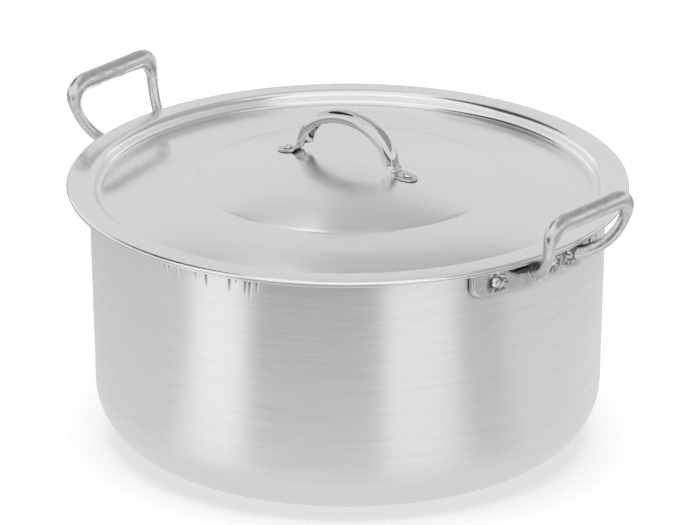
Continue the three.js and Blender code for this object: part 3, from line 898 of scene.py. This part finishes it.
def make_floor():
    half = FLOOR_HALF
    corners = [(-half, -half, 0), (half, -half, 0), (half, half, 0), (-half, half, 0)]
    floor = mesh_object("floor", corners, [(0, 1, 2, 3)])
    floor.location.z = -FLOOR_DROP
    material, g = new_graph("pale_floor")
    plain = g.add("BsdfDiffuse", {"Color": (0.85, 0.85, 0.85, 1)})
    faint = g.add("BsdfDiffuse", {"Color": (0.5, 0.5, 0.5, 1)})
    glow = g.add("Emission", {"Color": (1, 1, 1, 1), "Strength": FLOOR_GLOW})
    pale = g.add("AddShader", {0: faint.outputs[0], 1: glow.outputs[0]})
    mix = g.add("MixShader", {0: seen_directly(g), 1: plain.outputs[0], 2: pale.outputs[0]})
    g.add("OutputMaterial", {"Surface": mix.outputs[0]})
    floor.data.materials.append(material)


def make_lamp():
    """A soft lamp overhead that gives the floor its light and the pot its shadow."""
    data = bpy.data.lights.new("lamp", "AREA")
    data.shape = "DISK"
    data.size = LAMP_SIZE
    data.energy = LAMP_POWER
    lamp = bpy.data.objects.new("lamp", data)
    lamp.location = (0, 0, LAMP_HEIGHT)
    lamp.visible_glossy = False
    scene.collection.objects.link(lamp)


# Studio panels: first and last azimuth from the camera, rightward, and lowest and highest elevation, all in
# degrees, then distance and brightness
PANELS = {
    "front_flag": (-37, 13, 0, 24, 0.55, 0.18),
    "left_strip": (-61, -37, 0, 24, 0.55, 0.95),
    "left_flag": (-150, -61, 0, 24, 0.55, 0.5),
    "right_strip": (14, 41, 0, 24, 0.55, 0.85),
    "right_flag": (41, 60, 0, 24, 0.55, 0.4),
    "right_screen": (60, 140, 0, 24, 0.55, 0.55),
    "back_low": (140, 210, 0, 43, 3.0, 0.75),
    "back_right": (140, 181, 43, 66, 3.0, 0.5),
    "back_middle": (181, 184, 43, 66, 3.0, 0.54),
    "back_left": (184, 188, 43, 66, 3.0, 0.57),
    "back_far_left": (188, 230, 43, 53, 3.0, 0.62),
    "back_left_top": (188, 230, 53, 66, 3.0, 1.1),
    "front_bank": (-42, 42, 26, 66, 3.0, 1.05),
    "left_bank": (-84, -42, 24, 66, 3.0, 0.95),
    "left_low": (-150, -84, 24, 40, 3.0, 0.8),
    "left_top": (-150, -84, 40, 70, 2.9, 0.04),
    "right_bank": (42, 140, 24, 66, 3.0, 0.45),
    "ceiling": (0, 360, 66, 89, 3.0, 0.9),
}


# Cards that lie on the floor and show only in the metal: first and last azimuth as above, then inner and outer
# radius, and brightness
CARDS = {
    "front_card": (-37, 13, 0.40, 0.55, 0.42),
    "front_near_card": (-37, 13, 0.24, 0.40, 0.86),
    "left_strip_card": (-61, -37, 0.24, 0.55, 1.05),
    "left_card": (-150, -61, 0.24, 0.55, 0.76),
    "right_strip_card": (14, 41, 0.24, 0.55, 0.95),
    "right_flag_card": (41, 60, 0.24, 0.55, 0.7),
    "right_card": (60, 150, 0.24, 0.55, 0.84),
    # The last two rings, round the pot's foot, are painted shadow: darker grey that stands in for the floor's
    # shadow, seen only in the metal
    "foot_shadow_card": (0, 360, 0.19, 0.24, 0.8),
    "shade_card": (0, 360, 0.12, 0.19, 0.74),
}
CARD_LIFT = 0.0004
SECTOR_STEPS = 24
PANEL_STEPS = 12


def glow_sheet(name, rows, brightness):
    """A sheet through rows of points that glows, and that shows only in the metal."""
    across = len(rows[0])
    points = [point for row in rows for point in row]
    faces = []
    for start in range(0, len(points) - across, across):
        for here in range(start, start + across - 1):
            faces.append((here, here + 1, here + across + 1, here + across))
    sheet = mesh_object(name, points, faces)
    sheet.visible_camera = False
    sheet.visible_diffuse = False
    sheet.visible_shadow = False
    material, g = new_graph(name)
    glow = g.add("Emission", {"Color": (1, 1, 1, 1), "Strength": brightness})
    g.add("OutputMaterial", {"Surface": glow.outputs[0]})
    sheet.data.materials.append(material)


def sector(first, last):
    """Level directions from one azimuth to another, counted rightward from the camera."""
    azimuths = [lerp(first, last, k / SECTOR_STEPS) for k in range(SECTOR_STEPS + 1)]
    turns = [CAMERA_AZIMUTH + math.radians(azimuth) for azimuth in azimuths]
    return [Vector((math.sin(turn), -math.cos(turn), 0)) for turn in turns]


def make_card(name, first, last, inner, outer, brightness):
    """A piece of a flat ring round the pot, just above the floor."""
    lift = Vector((0, 0, CARD_LIFT))
    rows = [[radius * way + lift for way in sector(first, last)] for radius in (inner, outer)]
    glow_sheet(name, rows, brightness)


def make_panel(name, first, last, low, high, distance, brightness):
    """A piece of a dome round the pot."""
    rows = []
    for k in range(PANEL_STEPS + 1):
        elevation = math.radians(lerp(low, high, k / PANEL_STEPS))
        up = Vector((0, 0, distance * math.sin(elevation)))
        rows.append([distance * math.cos(elevation) * way + up for way in sector(first, last)])
    glow_sheet(name, rows, brightness)


make_camera()
make_world()
make_floor()
make_lamp()
for panel_name, panel_values in PANELS.items():
    make_panel(panel_name, *panel_values)
for card_name, card_values in CARDS.items():
    make_card(card_name, *card_values)
make_pot()
